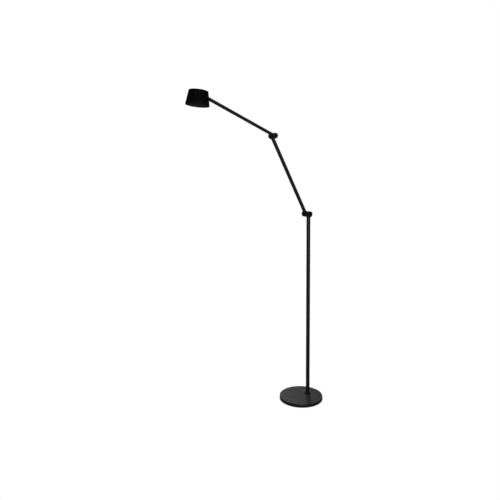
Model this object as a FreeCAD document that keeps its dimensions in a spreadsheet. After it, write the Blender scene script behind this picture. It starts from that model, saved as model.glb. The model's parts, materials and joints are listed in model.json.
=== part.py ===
import FreeCAD, Part
import math
import os
import re

import Sketcher

# Adjustable arm floor lamp: a round weighted base, an off-centre pole, two tube arms that
# turn on hollow side-by-side knuckles, and a tilting cone shade with a push switch on top.
#
# Millimetres, +Z up.  The origin is the centre of the base's underside, on the floor.  The
# arms reach towards -X, and every hinge axis runs along Y.  The pole, the upper arm and the
# shade share the plane Y = 0; the lower arm runs in the plane Y = 2 * knuckle_centre.

VECTOR = FreeCAD.Vector

# Driving dimensions, in millimetres and degrees.  Each one becomes a named cell of the sheet.
DIMENSIONS = {
    "base_radius": 120.0,
    "base_thickness": 15.5,
    "base_edge_radius": 1.2,
    "pad_radius": 115.0,
    "pad_thickness": 2.0,
    "fixing_recess_radius": 19.0,
    "fixing_recess_depth": 6.5,
    "channel_width": 8.0,
    "channel_depth": 7.0,
    "inlet_length": 9.0,
    "inlet_bore_radius": 2.9,
    "collar_radius": 18.5,
    "collar_height": 4.5,
    "collar_edge": 1.0,
    "pole_offset": 45.5,
    "pole_radius": 10.5,
    "pole_wall": 1.5,
    "insert_length": 22.0,
    "nipple_radius": 5.0,
    "nipple_bore_radius": 3.4,
    "nipple_length": 28.0,
    "base_washer_radius": 14.0,
    "base_washer_thickness": 1.6,
    "base_nut_flats": 17.0,
    "base_nut_height": 4.2,
    "shoulder_height": 1040.0,
    "lower_arm_length": 459.0,
    "lower_arm_radius": 9.4,
    "lower_arm_lean": 27.1,
    "upper_arm_length": 407.0,
    "upper_arm_radius": 8.0,
    "upper_arm_lean": 65.5,
    "arm_wall": 1.25,
    "shoulder_radius": 16.1,
    "shoulder_end": 29.6,
    "elbow_radius": 14.1,
    "elbow_end": 26.8,
    "knuckle_start": 0.35,
    "knuckle_centre": 13.6,
    "knuckle_cavity_radius": 12.0,
    "knuckle_web": 8.0,
    "knuckle_edge": 0.8,
    "neck_wall": 0.9,
    "neck_rise": 1.2,
    "neck_edge": 0.5,
    "socket_reach": 10.5,
    "pin_radius": 7.0,
    "pin_bore_radius": 4.75,
    "pin_flange_radius": 10.0,
    "pin_flange_thickness": 2.5,
    "running_fit": 0.05,
    "face_gap": 0.1,
    "friction_washer_radius": 13.2,
    "friction_washer_thickness": 0.6,
    "spring_washer_radius": 9.6,
    "spring_washer_thickness": 0.8,
    "ring_nut_radius": 10.0,
    "ring_nut_height": 4.0,
    "ring_nut_slot": 3.0,
    "cap_thickness": 2.4,
    "cap_inset": 0.5,
    "cap_dish_radius": 8.4,
    "cap_dish_depth": 0.8,
    "flex_radius": 1.75,
    "flex_reach": 18.0,
    "flex_bend": 4.0,
    "shade_top_radius": 46.3,
    "shade_rim_radius": 57.0,
    "shade_height": 66.5,
    "shade_wall": 1.2,
    "shade_edge_radius": 3.0,
    "head_tilt": 7.0,
    "tilt_inset": 38.5,
    "tilt_drop": 23.0,
    "slot_half_width": 8.9,
    "slot_top": 6.0,
    "slot_bottom": 45.0,
    "carrier_radius": 41.5,
    "carrier_thickness": 4.0,
    "boss_radius": 24.0,
    "boss_drop": 12.0,
    "stem_radius": 9.5,
    "lug_inner": 30.3,
    "lug_outer": 39.5,
    "lug_radius": 7.5,
    "lug_half_width": 8.4,
    "lug_half_gap": 5.4,
    "eye_radius": 7.5,
    "eye_half_width": 4.4,
    "eye_back": 9.5,
    "plug_length": 30.0,
    "tilt_bolt_radius": 2.5,
    "tilt_head_radius": 4.4,
    "tilt_head_height": 2.8,
    "tilt_nut_flats": 8.0,
    "tilt_nut_height": 4.0,
    "tilt_washer_radius": 6.5,
    "top_cap_radius": 18.0,
    "top_cap_height": 2.5,
    "top_cap_lip": 1.0,
    "top_cap_drop": 8.0,
    "button_radius": 6.0,
    "button_rise": 1.5,
    "button_flange_radius": 6.8,
    "button_flange_thickness": 1.1,
    "button_stem_radius": 2.0,
    "switch_radius": 7.2,
    "switch_top": 3.5,
    "led_board_radius": 20.0,
    "led_board_thickness": 1.6,
    "housing_radius": 30.0,
    "housing_wall": 2.0,
    "housing_bottom": 26.0,
    "housing_lip": 1.5,
    "diffuser_thickness": 2.0,
    "reflector_throat_radius": 12.0,
    "reflector_wall": 1.0,
}

# Places worked out from the driving dimensions, as formulas for the document's expressions.
BASE_TOP = "(pad_thickness + base_thickness)"
ELBOW_X = "(pole_offset - lower_arm_length * sin(lower_arm_lean))"
ELBOW_Z = "(shoulder_height + lower_arm_length * cos(lower_arm_lean))"
TILT_X = f"({ELBOW_X} - upper_arm_length * sin(upper_arm_lean))"
TILT_Z = f"({ELBOW_Z} + upper_arm_length * cos(upper_arm_lean))"
HEAD_X = f"({TILT_X} - tilt_inset * cos(head_tilt) + tilt_drop * sin(head_tilt))"
HEAD_Z = f"({TILT_Z} + tilt_inset * sin(head_tilt) + tilt_drop * cos(head_tilt))"
WEB_END = "(knuckle_start + knuckle_web)"

doc = FreeCAD.newDocument("floor_lamp")
sheet = doc.addObject("Spreadsheet::Sheet", "Dims")
for row, (alias, number) in enumerate(DIMENSIONS.items(), start=1):
    sheet.set(f"A{row}", alias.replace("_", " "))
    sheet.set(f"B{row}", str(number))
    sheet.setAlias(f"B{row}", alias)
doc.recompute()

subparts = []


# ---- helpers ----------------------------------------------------------------------------


def formula(text):
    """The text with each dimension's name turned into a reference to its cell."""

    def reference(match):
        return f"Dims.{match[0]}" if match[0] in DIMENSIONS else match[0]

    return re.sub(r"[a-z_]+", reference, text)


def size(text):
    """The present value of a formula."""
    return float(sheet.evalExpression(formula(text)))


def bind(thing, name, text):
    """Tie one property of an object to a formula in the sheet's dimensions."""
    thing.setExpression(name, formula(text))


def place(thing, x="0", y="0", z="0", axis=(0, 1, 0), turn="0"):
    """Put a finished sub-part at a point, turned about an axis, all by formula."""
    thing.Placement = FreeCAD.Placement(VECTOR(0, 0, 0), FreeCAD.Rotation(VECTOR(*axis), 90))
    bind(thing, "Placement.Base.x", x)
    bind(thing, "Placement.Base.y", y)
    bind(thing, "Placement.Base.z", z)
    bind(thing, "Placement.Rotation.Angle", turn)


def keep(thing, label):
    """Name a sub-part and put it on the list of those written out."""
    thing.Label = label
    subparts.append(thing)
    return thing


def new_body(label):
    return keep(doc.addObject("PartDesign::Body", label), label)


def new_sketch(body, plane, name):
    """A sketch on one of the body's own origin planes."""
    sketch = body.newObject("Sketcher::SketchObject", name)
    flat = [item for item in body.Origin.OriginFeatures if item.Role == plane][0]
    sketch.AttachmentSupport = [(flat, "")]
    sketch.MapMode = "FlatFace"
    return sketch


def fix_point(sketch, line, end, x, y):
    """Hold one point of the sketch at a pair of formulas, measured from its origin."""
    for kind, text in (("DistanceX", x), ("DistanceY", y)):
        number = sketch.addConstraint(Sketcher.Constraint(kind, -1, 1, line, end, size(text)))
        bind(sketch, f"Constraints[{number}]", text)


def add_outline(sketch, corners):
    """A closed outline of straight sides through the corners, which are pairs of formulas."""
    points = [VECTOR(size(x), size(y), 0) for x, y in corners]
    lines = []
    for start, end in zip(points, points[1:] + points[:1]):
        lines.append(sketch.addGeometry(Part.LineSegment(start, end), False))
    for line, following in zip(lines, lines[1:] + lines[:1]):
        sketch.addConstraint(Sketcher.Constraint("Coincident", line, 2, following, 1))
    for line, (x, y) in zip(lines, corners):
        fix_point(sketch, line, 1, x, y)


def add_circle(sketch, radius, x="0", y="0"):
    """A circle of a given radius about a given centre."""
    centre = VECTOR(size(x), size(y), 0)
    circle = Part.Circle(centre, VECTOR(0, 0, 1), size(radius))
    number = sketch.addGeometry(circle, False)
    fix_point(sketch, number, 3, x, y)
    held = sketch.addConstraint(Sketcher.Constraint("Radius", number, size(radius)))
    bind(sketch, f"Constraints[{held}]", radius)


def add_upright_slot(sketch, top, bottom, half_width):
    """A slot with round ends that runs up the sketch's own vertical axis."""
    half = size(half_width)
    upper = VECTOR(0, size(top) - half, 0)
    lower = VECTOR(0, size(bottom) + half, 0)
    arcs = []
    for centre, start in ((upper, 0), (lower, math.pi)):
        whole = Part.Circle(centre, VECTOR(0, 0, 1), half)
        arcs.append(sketch.addGeometry(Part.ArcOfCircle(whole, start, start + math.pi), False))
    sides = []
    for x in (-half, half):
        line = Part.LineSegment(VECTOR(x, upper.y, 0), VECTOR(x, lower.y, 0))
        sides.append(sketch.addGeometry(line, False))
    left, right = sides
    for arc, first, last, end in ((arcs[0], right, left, 1), (arcs[1], left, right, 2)):
        sketch.addConstraint(Sketcher.Constraint("Tangent", arc, 1, first, end))
        sketch.addConstraint(Sketcher.Constraint("Tangent", arc, 2, last, end))
    fix_point(sketch, arcs[0], 3, "0", f"{top} - {half_width}")
    fix_point(sketch, arcs[1], 3, "0", f"{bottom} + {half_width}")
    held = sketch.addConstraint(Sketcher.Constraint("Radius", arcs[0], half))
    bind(sketch, f"Constraints[{held}]", half_width)


def revolve(body, plane, axis, corners, name, kind="Revolution"):
    """Turn an outline right round an axis of its own sketch; a groove has to cut."""
    doc.recompute()
    before = body.Shape.Volume if kind == "Groove" else 0
    sketch = new_sketch(body, plane, f"{name}_outline")
    add_outline(sketch, corners)
    solid = body.newObject(f"PartDesign::{kind}", name)
    solid.Profile = sketch
    solid.ReferenceAxis = (sketch, [axis])
    solid.Angle = 360
    sketch.Visibility = False
    doc.recompute()
    if kind == "Groove" and body.Shape.Volume > before - 0.1:
        raise ValueError(f"{body.Label}: {name} cuts nothing")
    return solid


def extrude(body, sketch, kind, length, name, flip=False, both_ways=False):
    """Pad or pocket a sketch by a formula; a pocket has to take material away."""
    doc.recompute()
    before = body.Shape.Volume if kind == "Pocket" else 0
    solid = body.newObject(f"PartDesign::{kind}", name)
    solid.Profile = sketch
    bind(solid, "Length", length)
    solid.Reversed = flip
    solid.Midplane = both_ways
    doc.recompute()
    if kind == "Pocket" and body.Shape.Volume > before - 0.1:
        raise ValueError(f"{body.Label}: {name} cuts nothing")
    return solid


def round_edges(body, radius, circles, name):
    """Round the circular edges, each given as its radius and its height on Z."""
    doc.recompute()
    solid = body.Tip
    wanted = [(size(r), size(z)) for r, z in circles]
    found = []
    for number, edge in enumerate(solid.Shape.Edges, start=1):
        if not isinstance(edge.Curve, Part.Circle):
            continue
        here = (edge.Curve.Radius, edge.Curve.Center.z)
        if any(math.dist(here, there) < 0.01 for there in wanted):
            found.append(f"Edge{number}")
    if len(found) < len(wanted):
        raise ValueError(f"{body.Label}: an edge to round is missing")
    fillet = body.newObject("PartDesign::Fillet", name)
    fillet.Base = (solid, found)
    bind(fillet, "Radius", radius)
    return fillet


def tube(label, outer, inner, length):
    """A plain tube, ring or washer along its own Z, cut from two cylinders."""
    parts = []
    for name, radius in (("outside", outer), ("bore", inner)):
        cylinder = doc.addObject("Part::Cylinder", f"{label}_{name}")
        bind(cylinder, "Radius", radius)
        bind(cylinder, "Height", length)
        parts.append(cylinder)
    ring = doc.addObject("Part::Cut", label)
    ring.Base, ring.Tool = parts
    return keep(ring, label)


def hexagon(sketch, flats):
    """A regular hexagon about the sketch's origin, given the distance across its flats."""
    corner = f"({flats}) / sqrt(3)"
    corners = [(f"{corner} * cos({turn})", f"{corner} * sin({turn})") for turn in range(0, 360, 60)]
    add_outline(sketch, corners)


def hex_nut(label, flats, bore, height):
    """A hexagon nut along its own Z, standing on its lower face."""
    body = new_body(label)
    sketch = new_sketch(body, "XY_Plane", "flats")
    hexagon(sketch, flats)
    add_circle(sketch, bore)
    extrude(body, sketch, "Pad", height, "blank")
    return body


def rounded_path(corners, bends):
    """A wire of straight runs through the corners, with a tangent arc at each inner one."""
    points = [VECTOR(*corner) for corner in corners]
    edges = []
    start = points[0]
    for before, corner, after, bend in zip(points, points[1:], points[2:], bends):
        back = (before - corner).normalize()
        ahead = (after - corner).normalize()
        half_turn = (math.pi - back.getAngle(ahead)) / 2
        trim = bend * math.tan(half_turn)
        middle = (back + ahead).normalize() * (bend / math.cos(half_turn) - bend)
        first = corner + back * trim
        last = corner + ahead * trim
        edges.append(Part.LineSegment(start, first).toShape())
        edges.append(Part.Arc(first, corner + middle, last).toShape())
        start = last
    edges.append(Part.LineSegment(start, points[-1]).toShape())
    return Part.Wire(edges)


def flex(label, corners, bends):
    """A length of round lead along a bent path; it carries the current inside the tubes."""
    path = rounded_path(corners, bends)
    first, second = VECTOR(*corners[0]), VECTOR(*corners[1])
    section = Part.Wire(Part.makeCircle(size("flex_radius"), first, second - first))
    lead = doc.addObject("Part::Feature", label)
    lead.Shape = path.makePipe(Part.Face(section))
    return keep(lead, label)


# ---- base and pole ----------------------------------------------------------------------


def base_plate():
    """Round steel plate with a recess under the pole and a channel for the lead."""
    body = new_body("base_plate")
    corners = [("0", "0"), ("base_radius", "0"), ("base_radius", "base_thickness"), ("0", "base_thickness")]
    revolve(body, "XZ_Plane", "V_Axis", corners, "disc")
    recess = new_sketch(body, "XY_Plane", "recess_outline")
    add_circle(recess, "fixing_recess_radius", "pole_offset")
    extrude(body, recess, "Pocket", "fixing_recess_depth", "fixing_recess", flip=True)
    channel = new_sketch(body, "XY_Plane", "channel_outline")
    side = "channel_width / 2"
    corners = [
        ("pole_offset", f"-{side}"),
        ("base_radius + 1", f"-{side}"),
        ("base_radius + 1", side),
        ("pole_offset", side),
    ]
    add_outline(channel, corners)
    extrude(body, channel, "Pocket", "channel_depth", "lead_channel", flip=True)
    hole = new_sketch(body, "XY_Plane", "hole_outline")
    add_circle(hole, "nipple_radius + running_fit * 4", "pole_offset")
    extrude(body, hole, "Pocket", "base_thickness + 1", "nipple_hole", flip=True)
    edges = [("base_radius", "base_thickness")]
    round_edges(body, "base_edge_radius", edges, "soft_edge")
    place(body, z="pad_thickness")


def base_pad():
    """Thin foam disc that the base stands on, open under the fixing nut."""
    body = new_body("base_pad")
    sketch = new_sketch(body, "XY_Plane", "pad_outline")
    add_circle(sketch, "pad_radius")
    add_circle(sketch, "fixing_recess_radius", "pole_offset")
    extrude(body, sketch, "Pad", "pad_thickness", "pad")


def cord_inlet():
    """Rubber bush that fills the mouth of the channel, where a lead would enter."""
    body = new_body("cord_inlet")
    sketch = new_sketch(body, "YZ_Plane", "bush_outline")
    side = "(channel_width / 2 - running_fit)"
    height = "(channel_depth - running_fit)"
    add_outline(sketch, [(f"-{side}", "0"), (side, "0"), (side, height), (f"-{side}", height)])
    add_circle(sketch, "inlet_bore_radius", "0", f"{height} / 2")
    extrude(body, sketch, "Pad", "inlet_length", "bush")
    place(body, x="base_radius - inlet_length - 0.2", z="pad_thickness")


def pole_and_fixing():
    """Pole, its threaded foot insert, and the hollow nipple that draws it onto the base."""
    collar = new_body("pole_collar")
    inner = "pole_radius + running_fit * 3"
    corners = [
        (inner, "0"),
        ("collar_radius", "0"),
        ("collar_radius", "collar_height - collar_edge"),
        ("collar_radius - collar_edge", "collar_height"),
        (inner, "collar_height"),
    ]
    revolve(collar, "XZ_Plane", "V_Axis", corners, "ring")
    place(collar, x="pole_offset", z=BASE_TOP)

    length = f"shoulder_height - socket_reach - {BASE_TOP}"
    pole = tube("pole_tube", "pole_radius", "pole_radius - pole_wall", length)
    place(pole, x="pole_offset", z=BASE_TOP)

    insert_radius = "pole_radius - pole_wall - running_fit"
    insert = tube("pole_insert", insert_radius, "nipple_radius + running_fit", "insert_length")
    place(insert, x="pole_offset", z=BASE_TOP)

    nipple = tube("base_nipple", "nipple_radius", "nipple_bore_radius", "nipple_length")
    place(nipple, x="pole_offset", z="pad_thickness + 0.5")

    washer_top = "(pad_thickness + fixing_recess_depth)"
    bore = "nipple_radius + running_fit * 4"
    washer = tube("base_washer", "base_washer_radius", bore, "base_washer_thickness")
    place(washer, x="pole_offset", z=f"{washer_top} - base_washer_thickness")

    nut = hex_nut("base_nut", "base_nut_flats", "nipple_radius + running_fit", "base_nut_height")
    place(nut, x="pole_offset", z=f"{washer_top} - base_washer_thickness - base_nut_height")


# ---- knuckle joints ---------------------------------------------------------------------
# The local origin of a joint is on its hinge axis, midway between its two knuckles.  The near
# knuckle lies on -Y and holds the hollow pin; the far knuckle lies on +Y and turns on it.


def knuckle(label, side, joint, tube_radius, tube_way):
    """Hollow knuckle: a barrel with a short neck for its tube and a web that the pin crosses.

    side is -1 for near and 1 for far; tube_way is 1 where the tube leaves towards +Z.
    """
    body = new_body(label)
    radius = f"{joint}_radius"
    end = f"{joint}_end"
    corners = [
        ("knuckle_start", "0"),
        ("knuckle_start", f"{radius} - knuckle_edge / 2"),
        ("knuckle_start + knuckle_edge / 2", radius),
        (f"{end} - knuckle_edge", radius),
        (end, f"{radius} - knuckle_edge"),
        (end, "0"),
    ]
    corners = [(f"{side} * ({along})", out) for along, out in corners]
    revolve(body, "YZ_Plane", "H_Axis", corners, "barrel")

    neck_radius = f"({tube_radius} + neck_wall)"
    neck_top = f"({radius} + neck_rise)"
    neck = new_sketch(body, "XY_Plane", "neck_outline")
    add_circle(neck, neck_radius, "0", f"{side} * knuckle_centre")
    extrude(body, neck, "Pad", neck_top, "neck", flip=tube_way < 0)
    round_edges(body, "neck_edge", [(neck_radius, f"{tube_way} * {neck_top}")], "neck_rounding")

    bore = "pin_radius + running_fit"
    corners = [
        ("knuckle_start - 1", "0"),
        (f"{end} + 1", "0"),
        (f"{end} + 1", "knuckle_cavity_radius"),
        (WEB_END, "knuckle_cavity_radius"),
        (WEB_END, bore),
        ("knuckle_start - 1", bore),
    ]
    corners = [(f"{side} * ({along})", out) for along, out in corners]
    revolve(body, "YZ_Plane", "H_Axis", corners, "cavity", "Groove")

    socket = new_sketch(body, "XY_Plane", "socket_outline")
    bind(socket, "AttachmentOffset.Base.z", f"{tube_way} * socket_reach")
    add_circle(socket, f"{tube_radius} + running_fit", "0", f"{side} * knuckle_centre")
    extrude(body, socket, "Pocket", neck_top, "tube_socket", flip=tube_way > 0)
    return body


def end_cap(label, side, joint):
    """Dished disc that closes a knuckle's open end."""
    body = new_body(label)
    outer = f"({joint}_end - cap_inset)"
    inner = f"({outer} - cap_thickness)"
    rim = "knuckle_cavity_radius - running_fit"
    corners = [
        (inner, "0"),
        (inner, rim),
        (f"{outer} - 0.3", rim),
        (outer, f"{rim} - 0.3"),
        (outer, "cap_dish_radius"),
        (f"{outer} - cap_dish_depth", "cap_dish_radius - cap_dish_depth"),
        (f"{outer} - cap_dish_depth", "0"),
    ]
    corners = [(f"{side} * ({along})", out) for along, out in corners]
    revolve(body, "YZ_Plane", "H_Axis", corners, "disc")
    return body


def hinge_pin(label):
    """Hollow flanged pin: the flange keeps the far knuckle on, the lead runs through."""
    body = new_body(label)
    flange = f"({WEB_END} + face_gap)"
    flange_end = f"({flange} + pin_flange_thickness)"
    tail = f"-({WEB_END} + spring_washer_thickness + face_gap + ring_nut_height + 0.6)"
    corners = [
        (tail, "pin_bore_radius"),
        (flange_end, "pin_bore_radius"),
        (flange_end, "pin_flange_radius"),
        (flange, "pin_flange_radius"),
        (flange, "pin_radius"),
        (tail, "pin_radius"),
    ]
    revolve(body, "YZ_Plane", "H_Axis", corners, "pin")
    return body


def ring_nut(label):
    """Round nut with four spanner slots, along its own Z."""
    body = new_body(label)
    sketch = new_sketch(body, "XY_Plane", "ring_outline")
    add_circle(sketch, "ring_nut_radius")
    add_circle(sketch, "pin_radius + running_fit")
    extrude(body, sketch, "Pad", "ring_nut_height", "ring")
    slot = new_sketch(body, "XY_Plane", "slot_outline")
    half = "ring_nut_slot / 2"
    root = "(ring_nut_radius - 1.2)"
    tip = "(ring_nut_radius + 1)"
    add_outline(slot, [(root, f"-{half}"), (tip, f"-{half}"), (tip, half), (root, half)])
    cut = extrude(body, slot, "Pocket", "ring_nut_height + 1", "slot", flip=True)
    before = body.Shape.Volume
    pattern = body.newObject("PartDesign::PolarPattern", "slots")
    pattern.Originals = [cut]
    pattern.Axis = (sketch, ["N_Axis"])
    pattern.Angle = 360
    pattern.Occurrences = 4
    body.Tip = pattern
    doc.recompute()
    if body.Shape.Volume > before - 0.1:
        raise ValueError(f"{label}: the slots were not repeated")
    return body


def joint_hardware(name, x, z):
    """Pin, washers, ring nut and near cap of one joint, all of which ride on its near side."""
    across = (1, 0, 0)
    mid = "knuckle_centre"
    place(hinge_pin(f"{name}_pin"), x, mid, z)

    bore = "pin_radius + running_fit * 3"
    friction = tube(f"{name}_friction_washer", "friction_washer_radius", bore, "friction_washer_thickness")
    place(friction, x, f"{mid} - knuckle_start", z, across, "-90")

    spring = tube(f"{name}_spring_washer", "spring_washer_radius", bore, "spring_washer_thickness")
    place(spring, x, f"{mid} - {WEB_END} - spring_washer_thickness", z, across, "-90")

    nut_face = f"{mid} - {WEB_END} - spring_washer_thickness - face_gap - ring_nut_height"
    place(ring_nut(f"{name}_nut"), x, nut_face, z, across, "-90")
    place(end_cap(f"{name}_near_cap", -1, name), x, mid, z)


def shoulder():
    """Joint on top of the pole: the pole's knuckle is the near one."""
    place(
        knuckle("shoulder_pole_knuckle", -1, "shoulder", "pole_radius", -1),
        "pole_offset",
        "knuckle_centre",
        "shoulder_height",
    )
    joint_hardware("shoulder", "pole_offset", "shoulder_height")


def lower_arm():
    """Lower arm with the far knuckles of both its joints."""
    lean = "-lower_arm_lean"
    foot = knuckle("shoulder_arm_knuckle", 1, "shoulder", "lower_arm_radius", 1)
    place(foot, "pole_offset", "knuckle_centre", "shoulder_height", turn=lean)
    foot_cap = end_cap("shoulder_far_cap", 1, "shoulder")
    place(foot_cap, "pole_offset", "knuckle_centre", "shoulder_height", turn=lean)

    length = "lower_arm_length - socket_reach * 2"
    arm = tube("lower_arm_tube", "lower_arm_radius", "lower_arm_radius - arm_wall", length)
    start_x = "pole_offset - socket_reach * sin(lower_arm_lean)"
    start_z = "shoulder_height + socket_reach * cos(lower_arm_lean)"
    place(arm, start_x, "knuckle_centre * 2", start_z, turn=lean)

    head = knuckle("elbow_lower_knuckle", 1, "elbow", "lower_arm_radius", -1)
    place(head, ELBOW_X, "knuckle_centre", ELBOW_Z, turn=lean)
    head_cap = end_cap("elbow_far_cap", 1, "elbow")
    place(head_cap, ELBOW_X, "knuckle_centre", ELBOW_Z, turn=lean)


def upper_arm():
    """Upper arm: the elbow's near knuckle, the tube and the eye that carries the shade."""
    lean = "-upper_arm_lean"
    foot = knuckle("elbow_upper_knuckle", -1, "elbow", "upper_arm_radius", 1)
    place(foot, ELBOW_X, "knuckle_centre", ELBOW_Z, turn=lean)
    joint_hardware("elbow", ELBOW_X, ELBOW_Z)

    length = "upper_arm_length - socket_reach - eye_back"
    arm = tube("upper_arm_tube", "upper_arm_radius", "upper_arm_radius - arm_wall", length)
    start_x = f"{ELBOW_X} - socket_reach * sin(upper_arm_lean)"
    start_z = f"{ELBOW_Z} + socket_reach * cos(upper_arm_lean)"
    place(arm, start_x, "0", start_z, turn=lean)
    tilt_eye()


def tilt_eye():
    """Plug in the upper arm's end: a round shank, a flat tongue and the eye for the bolt."""
    body = new_body("tilt_eye")
    shank = new_sketch(body, "XY_Plane", "shank_outline")
    bind(shank, "AttachmentOffset.Base.z", "-eye_back")
    add_circle(shank, "upper_arm_radius - arm_wall - running_fit")
    extrude(body, shank, "Pad", "plug_length", "shank", flip=True)
    tongue = new_sketch(body, "XZ_Plane", "tongue_outline")
    half = "(upper_arm_radius - arm_wall - 0.5)"
    corners = [(f"-{half}", "-eye_back"), (half, "-eye_back"), (half, "0"), (f"-{half}", "0")]
    add_outline(tongue, corners)
    extrude(body, tongue, "Pad", "eye_half_width * 2", "tongue", both_ways=True)
    eye = new_sketch(body, "XZ_Plane", "eye_outline")
    add_circle(eye, "eye_radius")
    extrude(body, eye, "Pad", "eye_half_width * 2", "eye", both_ways=True)
    bore = new_sketch(body, "XZ_Plane", "bore_outline")
    add_circle(bore, "tilt_bolt_radius + running_fit")
    extrude(body, bore, "Pocket", "eye_half_width * 4", "bolt_bore", both_ways=True)
    way = new_sketch(body, "XY_Plane", "lead_way_outline")
    bind(way, "AttachmentOffset.Base.z", "-eye_back")
    add_circle(way, "flex_radius + running_fit * 8")
    extrude(body, way, "Pocket", "plug_length + 1", "lead_way")
    place(body, TILT_X, "0", TILT_Z, turn="-upper_arm_lean")


def leads():
    """Lead inside the tubes, one length for each arm, through the hollow hinge pins."""
    reach = size("flex_reach")
    middle = size("knuckle_centre")
    bend = size("flex_bend")
    gap = size("face_gap")
    easy = 20 * size("flex_radius") * 2
    upright = size("shoulder_height")
    behind = middle - reach
    corners = [
        (0, 0, size("pad_thickness") + 1),
        (0, 0, 80),
        (0, behind, 150),
        (0, behind, upright),
        (0, middle - gap, upright),
    ]
    place(flex("pole_lead", corners, [easy, easy, bend]), "pole_offset")

    along = size("lower_arm_length")
    corners = [(0, gap, 0), (0, reach, 0), (0, reach, along), (0, gap, along)]
    lower = flex("lower_arm_lead", corners, [bend, bend])
    place(lower, "pole_offset", "knuckle_centre", "shoulder_height", turn="-lower_arm_lean")

    along = size("upper_arm_length")
    corners = [
        (0, -gap, 0),
        (0, -reach, 0),
        (0, -reach, 60),
        (0, -middle, 130),
        (0, -middle, along - size("eye_back") - 1),
    ]
    upper = flex("upper_arm_lead", corners, [bend, easy, easy])
    place(upper, ELBOW_X, "knuckle_centre", ELBOW_Z, turn="-upper_arm_lean")


# ---- head -------------------------------------------------------------------------------
# The head's local origin is the centre of the shade's top face; +X points at the upper arm.


def place_in_head(thing):
    place(thing, HEAD_X, "0", HEAD_Z, turn="head_tilt")


def shade():
    """Spun cone shade, closed on top, with a slot in its back for the upper arm."""
    body = new_body("shade")
    corners = [
        ("stem_radius + running_fit", "0"),
        ("shade_top_radius", "0"),
        ("shade_rim_radius", "-shade_height"),
        ("shade_rim_radius - shade_wall", "-shade_height"),
        ("shade_top_radius - shade_wall", "-shade_wall"),
        ("stem_radius + running_fit", "-shade_wall"),
    ]
    revolve(body, "XZ_Plane", "V_Axis", corners, "shell")
    inner = [("shade_top_radius - shade_wall", "-shade_wall")]
    round_edges(body, "shade_edge_radius - shade_wall", inner, "inner_shoulder")
    round_edges(body, "shade_edge_radius", [("shade_top_radius", "0")], "outer_shoulder")
    slot = new_sketch(body, "YZ_Plane", "slot_outline")
    add_upright_slot(slot, "-slot_top", "-slot_bottom", "slot_half_width")
    extrude(body, slot, "Pocket", "shade_rim_radius + 5", "arm_slot", flip=True)
    place_in_head(body)


def head_carrier():
    """Cast disc inside the shade's top: it cools the light and holds the tilt lugs."""
    body = new_body("head_carrier")
    top = "-shade_wall"
    under = f"({top} - carrier_thickness)"
    corners = [
        ("stem_radius + running_fit", top),
        ("carrier_radius", top),
        ("carrier_radius", under),
        ("boss_radius", under),
        ("boss_radius", "-boss_drop"),
        ("stem_radius + running_fit", "-boss_drop"),
    ]
    revolve(body, "XZ_Plane", "V_Axis", corners, "disc")
    strap = new_sketch(body, "XZ_Plane", "strap_outline")
    inside = f"({under} + 1)"
    corners = [
        ("lug_inner", inside),
        ("lug_outer", inside),
        ("lug_outer", "-tilt_drop"),
        ("tilt_inset - lug_radius + 0.5", "-tilt_drop"),
        ("lug_inner", "-tilt_drop + lug_radius"),
    ]
    add_outline(strap, corners)
    extrude(body, strap, "Pad", "lug_half_width * 2", "strap", both_ways=True)
    ends = new_sketch(body, "XZ_Plane", "lug_outline")
    add_circle(ends, "lug_radius", "tilt_inset", "-tilt_drop")
    extrude(body, ends, "Pad", "lug_half_width * 2", "lug_ends", both_ways=True)
    gap = new_sketch(body, "XZ_Plane", "gap_outline")
    low = "(-tilt_drop - lug_radius - 1)"
    corners = [
        ("lug_inner - 1", under),
        ("tilt_inset + lug_radius + 1", under),
        ("tilt_inset + lug_radius + 1", low),
        ("lug_inner - 1", low),
    ]
    add_outline(gap, corners)
    extrude(body, gap, "Pocket", "lug_half_gap * 2", "eye_gap", both_ways=True)
    bore = new_sketch(body, "XZ_Plane", "bore_outline")
    add_circle(bore, "tilt_bolt_radius + running_fit", "tilt_inset", "-tilt_drop")
    extrude(body, bore, "Pocket", "lug_half_width * 4", "bolt_bore", both_ways=True)
    place_in_head(body)


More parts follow.
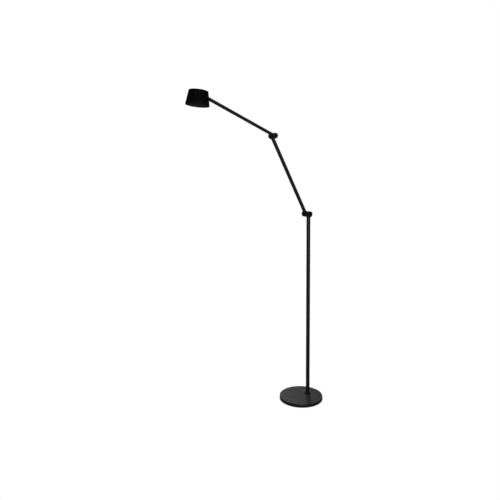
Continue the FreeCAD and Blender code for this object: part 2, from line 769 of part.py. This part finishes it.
def tilt_fasteners():
    """Bolt, nut and the pair of friction washers of the tilt hinge."""
    bolt = new_body("tilt_bolt")
    head = "(lug_half_width + face_gap)"
    head_end = f"({head} + tilt_head_height)"
    tail = "(lug_half_width + tilt_nut_height + 1)"
    corners = [
        (f"-{head_end}", "1.6"),
        (f"-{head_end}", "tilt_head_radius - 0.4"),
        (f"-{head_end} + 0.4", "tilt_head_radius"),
        (f"-{head}", "tilt_head_radius"),
        (f"-{head}", "tilt_bolt_radius"),
        (f"{tail} - 0.5", "tilt_bolt_radius"),
        (tail, "tilt_bolt_radius - 0.5"),
        (tail, "0"),
        (f"-{head_end} + 1.6", "0"),
        (f"-{head_end} + 1.6", "1.6"),
    ]
    revolve(bolt, "YZ_Plane", "H_Axis", corners, "bolt")
    place(bolt, TILT_X, "0", TILT_Z, turn="head_tilt")

    nut = hex_nut("tilt_nut", "tilt_nut_flats", "tilt_bolt_radius + running_fit", "tilt_nut_height")
    place(nut, TILT_X, "lug_half_width", TILT_Z, (1, 0, 0), "-90")

    washers = []
    thickness = "(lug_half_gap - eye_half_width - face_gap)"
    for name, start in (("near", "-lug_half_gap"), ("far", f"lug_half_gap - {thickness}")):
        outer = doc.addObject("Part::Cylinder", f"tilt_washer_{name}_outside")
        inner = doc.addObject("Part::Cylinder", f"tilt_washer_{name}_bore")
        bind(outer, "Radius", "tilt_washer_radius")
        bind(inner, "Radius", "tilt_bolt_radius + running_fit * 3")
        washer = doc.addObject("Part::Cut", f"tilt_washer_{name}")
        washer.Base = outer
        washer.Tool = inner
        for cylinder in (outer, inner):
            bind(cylinder, "Height", thickness)
            bind(cylinder, "Placement.Base.z", start)
        washers.append(washer)
    pair = keep(doc.addObject("Part::Compound", "tilt_washers"), "tilt_washers")
    pair.Links = washers
    place(pair, TILT_X, "0", TILT_Z, (1, 0, 0), "-90")


def top_cap():
    """Cap that screws down through the shade into the carrier and guides the button."""
    body = new_body("top_cap")
    ledge = "(top_cap_height - top_cap_lip)"
    corners = [
        ("button_radius + 0.4", "top_cap_height"),
        ("top_cap_radius - 1", "top_cap_height"),
        ("top_cap_radius", "top_cap_height - 1"),
        ("top_cap_radius", "0"),
        ("stem_radius", "0"),
        ("stem_radius", "-top_cap_drop"),
        ("switch_radius + running_fit", "-top_cap_drop"),
        ("switch_radius + running_fit", ledge),
        ("button_radius + 0.4", ledge),
    ]
    revolve(body, "XZ_Plane", "V_Axis", corners, "cap")
    place_in_head(body)


def switch():
    """Latching switch module, and the button that presses it from the top of the head."""
    module = new_body("switch_module")
    corners = [
        ("0", "-boss_drop + face_gap"),
        ("switch_radius", "-boss_drop + face_gap"),
        ("switch_radius", "-switch_top"),
        ("button_stem_radius + 0.5", "-switch_top"),
        ("button_stem_radius + 0.5", "-switch_top - 2.5"),
        ("0", "-switch_top - 2.5"),
    ]
    revolve(module, "XZ_Plane", "V_Axis", corners, "module")
    place_in_head(module)

    button = new_body("switch_button")
    crown = "(top_cap_height + button_rise)"
    flange = "(top_cap_height - top_cap_lip - face_gap)"
    flange_under = f"({flange} - button_flange_thickness)"
    corners = [
        ("0", f"{crown} - 0.3"),
        ("button_radius - 1.6", crown),
        ("button_radius - 0.6", crown),
        ("button_radius", f"{crown} - 0.6"),
        ("button_radius", flange),
        ("button_flange_radius", flange),
        ("button_flange_radius", flange_under),
        ("button_stem_radius", flange_under),
        ("button_stem_radius", "-switch_top - 0.6"),
        ("0", "-switch_top - 0.6"),
    ]
    revolve(button, "XZ_Plane", "V_Axis", corners, "button")
    place_in_head(button)


def light_engine():
    """Board with the light source, its reflector, the opal diffuser and their housing."""
    board_under = "(-boss_drop - led_board_thickness)"
    diffuser_under = "(-housing_bottom + housing_lip)"
    diffuser_top = f"({diffuser_under} + diffuser_thickness)"
    inside = "(housing_radius - housing_wall)"

    board = new_body("led_board")
    corners = [
        ("0", "-boss_drop"),
        ("led_board_radius", "-boss_drop"),
        ("led_board_radius", board_under),
        ("0", board_under),
    ]
    revolve(board, "XZ_Plane", "V_Axis", corners, "board")
    place_in_head(board)

    reflector = new_body("reflector")
    start = f"({board_under} - face_gap)"
    end = f"({diffuser_top} + face_gap)"
    corners = [
        ("reflector_throat_radius", start),
        ("reflector_throat_radius + reflector_wall + 0.4", start),
        (f"{inside} - 0.4", end),
        (f"{inside} - 0.4 - reflector_wall - 0.4", end),
    ]
    revolve(reflector, "XZ_Plane", "V_Axis", corners, "cup")
    place_in_head(reflector)

    diffuser = new_body("diffuser")
    corners = [
        ("0", diffuser_top),
        (f"{inside} - 0.2", diffuser_top),
        (f"{inside} - 0.2", diffuser_under),
        ("0", diffuser_under),
    ]
    revolve(diffuser, "XZ_Plane", "V_Axis", corners, "disc")
    place_in_head(diffuser)

    housing = new_body("light_housing")
    under = "(-shade_wall - carrier_thickness)"
    corners = [
        ("boss_radius + running_fit", under),
        ("housing_radius", under),
        ("housing_radius", "-housing_bottom + 0.6"),
        ("housing_radius - 0.6", "-housing_bottom"),
        (f"{inside} - 2", "-housing_bottom"),
        (f"{inside} - 2", diffuser_under),
        (inside, diffuser_under),
        (inside, f"{under} - 2"),
        ("boss_radius + running_fit", f"{under} - 2"),
    ]
    revolve(housing, "XZ_Plane", "V_Axis", corners, "ring")
    place_in_head(housing)


# ---- build, check and write -------------------------------------------------------------


def build():
    base_plate()
    base_pad()
    cord_inlet()
    pole_and_fixing()
    shoulder()
    lower_arm()
    upper_arm()
    leads()
    shade()
    head_carrier()
    tilt_fasteners()
    top_cap()
    switch()
    light_engine()
    doc.recompute()


def check():
    """Stop if any object failed to compute or any sub-part has no sound solid."""
    for thing in doc.Objects:
        if "Invalid" in thing.State or "Error" in thing.State:
            raise ValueError(f"{thing.Label} did not compute: {thing.State}")
    for part in subparts:
        if part.Shape.isNull() or not part.Shape.isValid() or not part.Shape.Solids:
            raise ValueError(f"{part.Label} has no valid solid")


def write():
    os.makedirs("parts", exist_ok=True)
    for part in subparts:
        part.Shape.exportStep(os.path.join("parts", f"{part.Label}.step"))
    print(f"{len(subparts)} sub-parts written")


build()
check()
write()
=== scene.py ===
import json
import math

import bmesh
import bpy
from mathutils import Matrix, Vector


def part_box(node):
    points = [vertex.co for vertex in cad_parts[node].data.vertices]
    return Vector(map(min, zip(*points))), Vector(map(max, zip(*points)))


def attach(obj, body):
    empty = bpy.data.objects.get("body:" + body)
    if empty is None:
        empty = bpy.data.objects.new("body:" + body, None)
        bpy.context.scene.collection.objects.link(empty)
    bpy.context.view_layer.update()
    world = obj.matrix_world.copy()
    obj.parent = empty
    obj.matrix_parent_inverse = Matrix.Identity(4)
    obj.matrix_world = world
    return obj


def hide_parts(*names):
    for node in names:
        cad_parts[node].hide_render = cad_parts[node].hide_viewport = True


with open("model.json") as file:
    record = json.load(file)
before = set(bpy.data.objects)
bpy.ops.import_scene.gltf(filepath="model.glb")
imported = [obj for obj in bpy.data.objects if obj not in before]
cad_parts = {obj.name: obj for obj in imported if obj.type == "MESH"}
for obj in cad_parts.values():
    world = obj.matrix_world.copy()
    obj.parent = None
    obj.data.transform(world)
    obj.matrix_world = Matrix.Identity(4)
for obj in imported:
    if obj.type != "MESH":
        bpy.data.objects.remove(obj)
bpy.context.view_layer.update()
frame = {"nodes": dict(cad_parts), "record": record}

JOINTS = {joint["name"]: joint for joint in frame["record"]["behaviour"]["joints"]}
NODES = frame["nodes"]

# Every length below is in metres and every angle is in degrees.

# Foam foot: the hole round the pole's fixing, and how far the cut edges swell.
FIXING_HOLE_RADIUS = 0.019
FOAM_BULGE = 0.0007
FOAM_SIDES = 96
FOAM_EDGE_STEPS = 8
FOAM_RINGS = 6

# LED packages: radius and count of each ring, then one package's size, glue line and bevel.
HEAD_TILT = 7.0
LED_RINGS = ((0.004, 3), (0.0085, 8))
LED_LENGTH = 0.003
LED_WIDTH = 0.0028
LED_HEIGHT = 0.0007
LED_GLUE = 0.0001
LED_BEVEL = 0.00012
LED_BEVEL_STEPS = 2

# The part of a noise's values that is stretched over the wanted range.
NOISE_MIDDLE = (0.3, 0.7)
GRAIN_DETAIL = 2

# Paler edges of a coat, partly rubbed wear and partly a painted highlight: sharpness where they begin and
# end, their strength and their paler colour.
EDGE_WEAR_AND_HIGHLIGHT_SHARPNESS = (0.52, 0.58)
EDGE_WEAR_AND_HIGHLIGHT_STRENGTH = 0.6
EDGE_WEAR_AND_HIGHLIGHT_GAIN = 2.2
EDGE_WEAR_AND_HIGHLIGHT_LIFT = 0.004

# Painted shade on the base: its upright rim is painted darker than its top, and its slopes lie between.
RIM_SLOPES = (0.2, 0.95)
BASE_RIM_PAINTED_SHADE = (0.0015, 0.0015, 0.0017)

# The inside of the shade, told from the outside by which way a face looks from its middle; it is painted
# paler, as painted light reflected there from the floor.
INSIDE_MARGIN = 0.001
SHADE_INSIDE_PAINTED_LIGHT = (0.028, 0.028, 0.029)

# Pores of the foam: their spacing and depth, and where the painted shade in one begins and ends.
PORE_SPACING = 0.0011
PORE_DEPTH = 0.0002
PORE_REACH = (0.1, 0.4)
PORE_PAINTED_SHADE = (0.004, 0.004, 0.004)
FOAM_SPECULAR = 0.2

# How far light scatters in the opal diffuser, and how much of it does.
OPAL_SCATTER = (0.004, 0.004, 0.0036)
OPAL_WEIGHT = 0.6

# Floor and surroundings.
FLOOR_RADIUS = 60
FLOOR_SIDES = 96
FLOOR_GAP = 0.0002
FLOOR_GREY = (0.3, 0.3, 0.3, 1)
FLOOR_ROUGHNESS = 0.9
FLOOR_SPECULAR = 0.1
SHADOW_REACH = 0.005
SHADOW_DEPTH = 2.0
SURROUNDINGS_WHITE = (1, 1, 1, 1)
SURROUNDINGS_STRENGTH = 0.08

# Softboxes: azimuth (0 is the front, -Y), elevation, distance, width, height and watts.
LIGHT_AIM = Vector((-0.15, 0, 0.9))
SOFTBOXES = {
    "key": (-27, 10, 3.4, 0.7, 1.8, 62),
    "fill": (30, 19, 3.2, 0.6, 0.8, 7.5),
    "top": (0, 88, 2.6, 2.0, 2.0, 12),
    "left": (-110, 20, 3.4, 1.2, 2.0, 6),
    "right": (70, 20, 3.4, 1.2, 2.0, 5),
    "back": (160, 25, 3.6, 2.0, 2.0, 14),
}

# Camera: its place from the pole's foot, the way it looks, and its lens in millimetres.
CAMERA_DISTANCE = 2.6936
CAMERA_SIDE = 0.3174
CAMERA_HEIGHT = 1.2762
CAMERA_AZIMUTH = 27.48
CAMERA_PITCH = 9.014
CAMERA_ROLL = -0.803
CAMERA_SENSOR = 36.0
CAMERA_LENS = 36.072


# ---- materials --------------------------------------------------------------------------


def new_material(name):
    """A material with its node tree and its Principled shader."""
    material = bpy.data.materials.new(name)
    material.use_nodes = True
    tree = material.node_tree
    return material, tree, tree.nodes["Principled BSDF"]


def set_inputs(node, values):
    for name, value in values.items():
        node.inputs[name].default_value = value


def surface_place(tree):
    """Places and directions on a piece, which stay with it as it moves."""
    node = tree.nodes.get("Texture Coordinate") or tree.nodes.new("ShaderNodeTexCoord")
    return node.outputs


def noise(tree, cell, detail):
    """Noise whose cells are about cell metres across."""
    node = tree.nodes.new("ShaderNodeTexNoise")
    set_inputs(node, {"Scale": 1 / cell, "Detail": detail})
    tree.links.new(surface_place(tree)["Object"], node.inputs["Vector"])
    return node.outputs["Fac"]


def remap(tree, value, low, high, span=NOISE_MIDDLE):
    """Let a value run from low to high while it crosses the span."""
    start, end = span
    node = tree.nodes.new("ShaderNodeMapRange")
    set_inputs(node, {"From Min": start, "From Max": end, "To Min": low, "To Max": high})
    tree.links.new(value, node.inputs["Value"])
    return node.outputs["Result"]


def blend(tree, amount, first, second):
    """Mix two colours by a value; first may be a colour socket."""
    node = tree.nodes.new("ShaderNodeMix")
    node.data_type = "RGBA"
    tree.links.new(amount, node.inputs["Factor"])
    for socket, colour in ((node.inputs["A"], first), (node.inputs["B"], second)):
        if isinstance(colour, bpy.types.NodeSocket):
            tree.links.new(colour, socket)
        else:
            socket.default_value = (*colour, 1)
    return node.outputs["Result"]


def recolour(material, mask, colour):
    """Lay another colour over a material's own where the mask is 1."""
    tree = material.node_tree
    socket = tree.nodes["Principled BSDF"].inputs["Base Color"]
    before = socket.links[0].from_socket
    tree.links.new(blend(tree, mask, before, colour), socket)


def bump(tree, height, distance):
    """Raise the surface by the height, from 0 to 1, times a distance."""
    node = tree.nodes.new("ShaderNodeBump")
    set_inputs(node, {"Distance": distance})
    tree.links.new(height, node.inputs["Height"])
    tree.links.new(node.outputs["Normal"], tree.nodes["Principled BSDF"].inputs["Normal"])


def uneven_material(name, dark, light, gloss, clouds, stains):
    """A material whose colour drifts from dark to light, and its roughness across the gloss range.

    Clouds and stains are the cell size and the detail of the drift in colour and in roughness.
    """
    material, tree, shader = new_material(name)
    shade = remap(tree, noise(tree, *clouds), 0, 1)
    tree.links.new(blend(tree, shade, dark, light), shader.inputs["Base Color"])
    tree.links.new(remap(tree, noise(tree, *stains), *gloss), shader.inputs["Roughness"])
    return material, tree, shader


def powder_coat(name, dark, light, gloss, grain, depth, specular):
    """Powder coat: fine orange-peel grain, faint clouding, and sharp edges painted paler as rubbed wear and
    as a painted highlight.
    """
    material, tree, shader = uneven_material(name, dark, light, gloss, clouds=(0.05, 4), stains=(0.02, 3))
    sharpness = tree.nodes.new("ShaderNodeNewGeometry").outputs["Pointiness"]
    # Sharp edges painted paler: partly rubbed wear, partly a painted edge highlight.
    worn_and_highlighted = remap(tree, sharpness, 0, EDGE_WEAR_AND_HIGHLIGHT_STRENGTH, EDGE_WEAR_AND_HIGHLIGHT_SHARPNESS)
    recolour(material, worn_and_highlighted, [EDGE_WEAR_AND_HIGHLIGHT_GAIN * channel + EDGE_WEAR_AND_HIGHLIGHT_LIFT for channel in light])
    set_inputs(shader, {"Specular IOR Level": specular})
    bump(tree, noise(tree, grain, GRAIN_DETAIL), depth)
    return material


def plastic(name, dark, light, gloss, grain, depth, specular=0.5):
    """Moulded plastic with a spark-eroded grain."""
    material, tree, shader = uneven_material(name, dark, light, gloss, clouds=(0.012, 3), stains=(0.004, 2))
    set_inputs(shader, {"Specular IOR Level": specular})
    bump(tree, noise(tree, grain, GRAIN_DETAIL), depth)
    return material


def metal(name, dark, light, gloss, grain, depth):
    """Bare or plated metal with faint stains in its polish."""
    material, tree, shader = uneven_material(name, dark, light, gloss, clouds=(0.006, 4), stains=(0.003, 3))
    set_inputs(shader, {"Metallic": 1})
    bump(tree, noise(tree, grain, GRAIN_DETAIL), depth)
    return material


def foam(name, dark, light, gloss):
    """Closed-cell foam with open pores on its cut faces."""
    material, tree, shader = uneven_material(name, dark, light, gloss, clouds=(0.01, 3), stains=(0.002, 2))
    cells = tree.nodes.new("ShaderNodeTexVoronoi")
    set_inputs(cells, {"Scale": 1 / PORE_SPACING})
    tree.links.new(surface_place(tree)["Object"], cells.inputs["Vector"])
    # Paints shade in the hollow of each pore, darkest at its bottom.
    recolour(material, remap(tree, cells.outputs["Distance"], 1, 0, PORE_REACH), PORE_PAINTED_SHADE)
    set_inputs(shader, {"Specular IOR Level": FOAM_SPECULAR})
    bump(tree, cells.outputs["Distance"], PORE_DEPTH)
    return material


def opal(name, dark, light, gloss, grain, depth):
    """Opal diffuser: light passes into it and scatters."""
    material, tree, shader = uneven_material(name, dark, light, gloss, clouds=(0.02, 2), stains=(0.003, 2))
    set_inputs(shader, {"Subsurface Weight": OPAL_WEIGHT, "Subsurface Radius": OPAL_SCATTER})
    bump(tree, noise(tree, grain, GRAIN_DETAIL), depth)
    return material


def rim_mask(tree):
    """1 where a face stands upright, 0 where it lies flat, with a soft change between."""
    parts = tree.nodes.new("ShaderNodeSeparateXYZ")
    tree.links.new(surface_place(tree)["Normal"], parts.inputs["Vector"])
    return remap(tree, parts.outputs["Z"], 1, 0, RIM_SLOPES)


def inside_mask(tree, centre):
    """1 on faces that look towards the middle of a round hollow."""
    place = surface_place(tree)
    inward = tree.nodes.new("ShaderNodeVectorMath")
    inward.operation = "SUBTRACT"
    middle, point = inward.inputs[:2]
    middle.default_value = centre
    tree.links.new(place["Object"], point)
    facing = tree.nodes.new("ShaderNodeVectorMath")
    facing.operation = "DOT_PRODUCT"
    first, second = facing.inputs[:2]
    tree.links.new(inward.outputs["Vector"], first)
    tree.links.new(place["Normal"], second)
    return remap(tree, facing.outputs["Value"], 0, 1, (-INSIDE_MARGIN, INSIDE_MARGIN))


MATERIALS = {
    "black_coat": powder_coat(
        "satin_black_coat",
        dark=(0.0012, 0.0012, 0.0014),
        light=(0.002, 0.002, 0.0022),
        gloss=(0.34, 0.42),
        grain=0.0006,
        depth=0.00002,
        specular=0.3,
    ),
    "base_coat": powder_coat(
        "anthracite_coat",
        dark=(0.019, 0.019, 0.020),
        light=(0.023, 0.023, 0.024),
        gloss=(0.34, 0.42),
        grain=0.0007,
        depth=0.00003,
        specular=0.5,
    ),
    "shade_coat": powder_coat(
        "matt_black_coat",
        dark=(0.0010, 0.0010, 0.0011),
        light=(0.0016, 0.0016, 0.0018),
        gloss=(0.60, 0.70),
        grain=0.0005,
        depth=0.00003,
        specular=0.05,
    ),
    "black_plastic": plastic(
        "black_plastic",
        dark=(0.0015, 0.0015, 0.0016),
        light=(0.0024, 0.0024, 0.0026),
        gloss=(0.45, 0.6),
        grain=0.0004,
        depth=0.00003,
        specular=0.15,
    ),
    "base_foam": foam(
        "foam",
        dark=(0.010, 0.010, 0.010),
        light=(0.018, 0.018, 0.018),
        gloss=(0.8, 0.95),
    ),
    "black_rubber": plastic(
        "black_rubber",
        dark=(0.01, 0.01, 0.01),
        light=(0.014, 0.014, 0.014),
        gloss=(0.6, 0.75),
        grain=0.0006,
        depth=0.00005,
    ),
    "zinc_steel": metal(
        "zinc_steel",
        dark=(0.50, 0.51, 0.52),
        light=(0.62, 0.62, 0.60),
        gloss=(0.25, 0.42),
        grain=0.0008,
        depth=0.00001,
    ),
    "nylon": plastic(
        "nylon",
        dark=(0.70, 0.69, 0.64),
        light=(0.76, 0.75, 0.70),
        gloss=(0.4, 0.55),
        grain=0.001,
        depth=0.00002,
    ),
    "lead_sheath": plastic(
        "lead_sheath",
        dark=(0.012, 0.012, 0.012),
        light=(0.018, 0.018, 0.018),
        gloss=(0.4, 0.5),
        grain=0.001,
        depth=0.00002,
    ),
    "cast_aluminium": metal(
        "cast_aluminium",
        dark=(0.42, 0.42, 0.43),
        light=(0.5, 0.5, 0.5),
        gloss=(0.42, 0.6),
        grain=0.0012,
        depth=0.00008,
    ),
    "led_board": plastic(
        "led_board",
        dark=(0.72, 0.72, 0.70),
        light=(0.78, 0.78, 0.76),
        gloss=(0.3, 0.4),
        grain=0.002,
        depth=0.00001,
    ),
    "white_reflector": plastic(
        "white_reflector",
        dark=(0.8, 0.8, 0.79),
        light=(0.85, 0.85, 0.84),
        gloss=(0.15, 0.25),
        grain=0.003,
        depth=0.00001,
    ),
    "opal": opal(
        "opal_diffuser",
        dark=(0.78, 0.78, 0.75),
        light=(0.84, 0.84, 0.82),
        gloss=(0.35, 0.5),
        grain=0.0008,
        depth=0.00002,
    ),
}


def paint_shade_on_base_rim():
    coat = MATERIALS["base_coat"]
    # Paints shade on the upright rim of the base, darker than its top.
    recolour(coat, rim_mask(coat.node_tree), BASE_RIM_PAINTED_SHADE)


def paint_light_inside_shade():
    coat = MATERIALS["shade_coat"]
    low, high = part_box("shade")
    # Paints light on the inside of the shade: a paler grey stands in for the floor's light reflected there.
    recolour(coat, inside_mask(coat.node_tree, (low + high) / 2), SHADE_INSIDE_PAINTED_LIGHT)


def dress(thing, material):
    thing.data.materials.clear()
    thing.data.materials.append(material)


def dress_cad_nodes():
    for entry in frame["record"]["subparts"]:
        dress(NODES[entry["node"]], MATERIALS[entry["material_slot"]])


# ---- pieces -----------------------------------------------------------------------------


def new_piece(name, shape, body, slot):
    """Turn a bmesh into a smooth-shaded piece that rides on a body in one of the finishes."""
    mesh = bpy.data.meshes.new(name)
    shape.normal_update()
    shape.to_mesh(mesh)
    shape.free()
    mesh.shade_smooth()
    piece = bpy.data.objects.new(name, mesh)
    bpy.context.scene.collection.objects.link(piece)
    dress(piece, MATERIALS[slot])
    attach(piece, body)
    return piece


def skin_rings(shape, rings):
    """Join closed rings of points, each to the next and the last to the first."""
    loops = [[shape.verts.new(point) for point in ring] for ring in rings]
    for near, far in zip(loops, loops[1:] + loops[:1]):
        for first, second in zip(range(len(near)), [*range(1, len(near)), 0]):
            shape.faces.new((near[first], near[second], far[second], far[first]))


def foam_foot():
    """Foam disc under the base: cut edges that bulge a little, and a hole under the pole."""
    low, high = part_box("base_pad")
    outer = (high.x - low.x) / 2
    middle = Vector(((low.x + high.x) / 2, 0, 0))
    hole = Vector((JOINTS["shoulder_hinge"]["pos_m"][0], 0, 0))
    inner = FIXING_HOLE_RADIUS
    thickness = high.z - low.z
    turns = [math.tau * step / FOAM_SIDES for step in range(FOAM_SIDES)]

    def ring(share, swell, height):
        """A circle part of the way from the hole to the rim, swollen outwards or inwards."""
        centre = hole.lerp(middle, share)
        radius = inner + (outer - FOAM_BULGE - inner) * share + swell
        level = low.z + height
        return [(centre.x + radius * math.cos(turn), radius * math.sin(turn), level) for turn in turns]

    edge = [math.pi * step / FOAM_EDGE_STEPS for step in range(FOAM_EDGE_STEPS + 1)]
    rim = [(FOAM_BULGE * math.sin(turn), thickness * (1 - math.cos(turn)) / 2) for turn in edge]
    across = [step / FOAM_RINGS for step in range(1, FOAM_RINGS)]
    rings = [ring(share, 0, 0) for share in across]
    rings += [ring(1, swell, height) for swell, height in rim]
    rings += [ring(share, 0, thickness) for share in reversed(across)]
    rings += [ring(0, -swell, height) for swell, height in reversed(rim)]
    shape = bmesh.new()
    skin_rings(shape, rings)
    piece = new_piece("foam_foot", shape, "stand", "base_foam")
    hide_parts("base_pad")


def led_chips():
    """Small bevelled LED packages in two rings on the underside of the board."""
    corners = [vertex.co for vertex in NODES["led_board"].data.vertices]
    centre = sum(corners, Vector()) / len(corners)
    tilt = math.radians(HEAD_TILT)
    along = Vector((math.cos(tilt), 0, -math.sin(tilt)))
    upward = Vector((math.sin(tilt), 0, math.cos(tilt)))
    aside = Vector((0, 1, 0))
    under = min((corner - centre).dot(upward) for corner in corners)
    drop = upward * (under - LED_HEIGHT / 2 - LED_GLUE)
    board_turn = Matrix((along, aside, upward)).transposed().to_4x4()
    chip_size = Matrix.Diagonal((LED_LENGTH, LED_WIDTH, LED_HEIGHT, 1))
    shape = bmesh.new()
    for radius, count in LED_RINGS:
        for number in range(count):
            turn = math.tau * number / count
            spot = centre + (along * math.cos(turn) + aside * math.sin(turn)) * radius + drop
            place = Matrix.Translation(spot) @ board_turn @ Matrix.Rotation(turn, 4, "Z")
            bmesh.ops.create_cube(shape, size=1, matrix=place @ chip_size)
    edges = shape.edges[:]
    bmesh.ops.bevel(shape, geom=edges, offset=LED_BEVEL, segments=LED_BEVEL_STEPS, affect="EDGES")
    new_piece("led_chips", shape, "head", "opal")


# ---- stage, light and camera ------------------------------------------------------------


def white_to_camera(tree, felt):
    """Show the camera plain white where every other ray meets the felt shader."""
    path = tree.nodes.new("ShaderNodeLightPath")
    white = tree.nodes.new("ShaderNodeEmission")
    mix = tree.nodes.new("ShaderNodeMixShader")
    output = next(node for node in tree.nodes if node.type.startswith("OUTPUT"))
    amount, other_rays, camera_rays = mix.inputs
    tree.links.new(path.outputs["Is Camera Ray"], amount)
    tree.links.new(felt, other_rays)
    tree.links.new(white.outputs["Emission"], camera_rays)
    tree.links.new(mix.outputs["Shader"], output.inputs["Surface"])
    return white


def contact_shadow(tree, white):
    """Darken the floor where something lies close above it."""
    closeness = tree.nodes.new("ShaderNodeAmbientOcclusion")
    set_inputs(closeness, {"Distance": SHADOW_REACH})
    deep = tree.nodes.new("ShaderNodeMath")
    deep.operation = "POWER"
    openness, depth = deep.inputs[:2]
    depth.default_value = SHADOW_DEPTH
    tree.links.new(closeness.outputs["AO"], openness)
    tree.links.new(deep.outputs["Value"], white.inputs["Strength"])


def make_floor():
    """A wide pale floor that stays plain white round the lamp."""
    mesh = bpy.data.meshes.new("floor")
    shape = bmesh.new()
    bmesh.ops.create_circle(shape, cap_ends=True, segments=FLOOR_SIDES, radius=FLOOR_RADIUS)
    shape.to_mesh(mesh)
    shape.free()
    floor = bpy.data.objects.new("floor", mesh)
    floor.location.z = -FLOOR_GAP
    bpy.context.scene.collection.objects.link(floor)
    material, tree, shader = new_material("pale_floor")
    looks = {"Base Color": FLOOR_GREY, "Roughness": FLOOR_ROUGHNESS, "Specular IOR Level": FLOOR_SPECULAR}
    set_inputs(shader, looks)
    contact_shadow(tree, white_to_camera(tree, shader.outputs["BSDF"]))
    mesh.materials.append(material)


def make_world():
    """Plain white surroundings that light the object only softly."""
    world = bpy.data.worlds.new("studio")
    bpy.context.scene.world = world
    world.use_nodes = True
    background = world.node_tree.nodes["Background"]
    set_inputs(background, {"Color": SURROUNDINGS_WHITE, "Strength": SURROUNDINGS_STRENGTH})
    white_to_camera(world.node_tree, background.outputs["Background"])


def softbox(name, azimuth, elevation, distance, width, height, power):
    """A soft area light aimed at the middle of the lamp and hidden from the camera."""
    turn = math.radians(azimuth)
    rise = math.radians(elevation)
    way = Vector((math.sin(turn) * math.cos(rise), -math.cos(turn) * math.cos(rise), math.sin(rise)))
    light = bpy.data.lights.new(name, "AREA")
    light.shape = "RECTANGLE"
    light.size = width
    light.size_y = height
    light.energy = power
    box = bpy.data.objects.new(name, light)
    box.location = LIGHT_AIM + way * distance
    box.rotation_euler = (-way).to_track_quat("-Z", "Y").to_euler()
    box.visible_camera = False
    bpy.context.scene.collection.objects.link(box)


def make_lights():
    for name, setting in SOFTBOXES.items():
        softbox(name, *setting)


def make_camera():
    """A camera in front and to the left of the lamp that looks a little down at it."""
    azimuth = math.radians(CAMERA_AZIMUTH)
    pitch = math.radians(CAMERA_PITCH)
    roll = math.radians(CAMERA_ROLL)
    pole = JOINTS["shoulder_hinge"]["pos_m"][0]
    across = Vector((math.cos(azimuth), -math.sin(azimuth), 0))
    ahead = Vector((math.sin(azimuth), math.cos(azimuth), 0))
    up = Vector((0, 0, 1))
    place = Vector((pole, 0, CAMERA_HEIGHT)) - ahead * CAMERA_DISTANCE - across * CAMERA_SIDE
    forward = ahead * math.cos(pitch) - up * math.sin(pitch)
    upright = up * math.cos(pitch) + ahead * math.sin(pitch)
    right = across * math.cos(roll) + upright * math.sin(roll)
    top = upright * math.cos(roll) - across * math.sin(roll)
    data = bpy.data.cameras.new("camera")
    data.sensor_width = CAMERA_SENSOR
    data.lens = CAMERA_LENS
    camera = bpy.data.objects.new("camera", data)
    turn = Matrix((right, top, -forward)).transposed()
    camera.matrix_world = Matrix.Translation(place) @ turn.to_4x4()
    bpy.context.scene.collection.objects.link(camera)
    bpy.context.scene.camera = camera


def make_colour_management():
    view = bpy.context.scene.view_settings
    view.view_transform = "Standard"
    view.look = "None"


paint_shade_on_base_rim()
paint_light_inside_shade()
make_camera()
make_floor()
make_world()
make_lights()
make_colour_management()
dress_cad_nodes()
foam_foot()
led_chips()
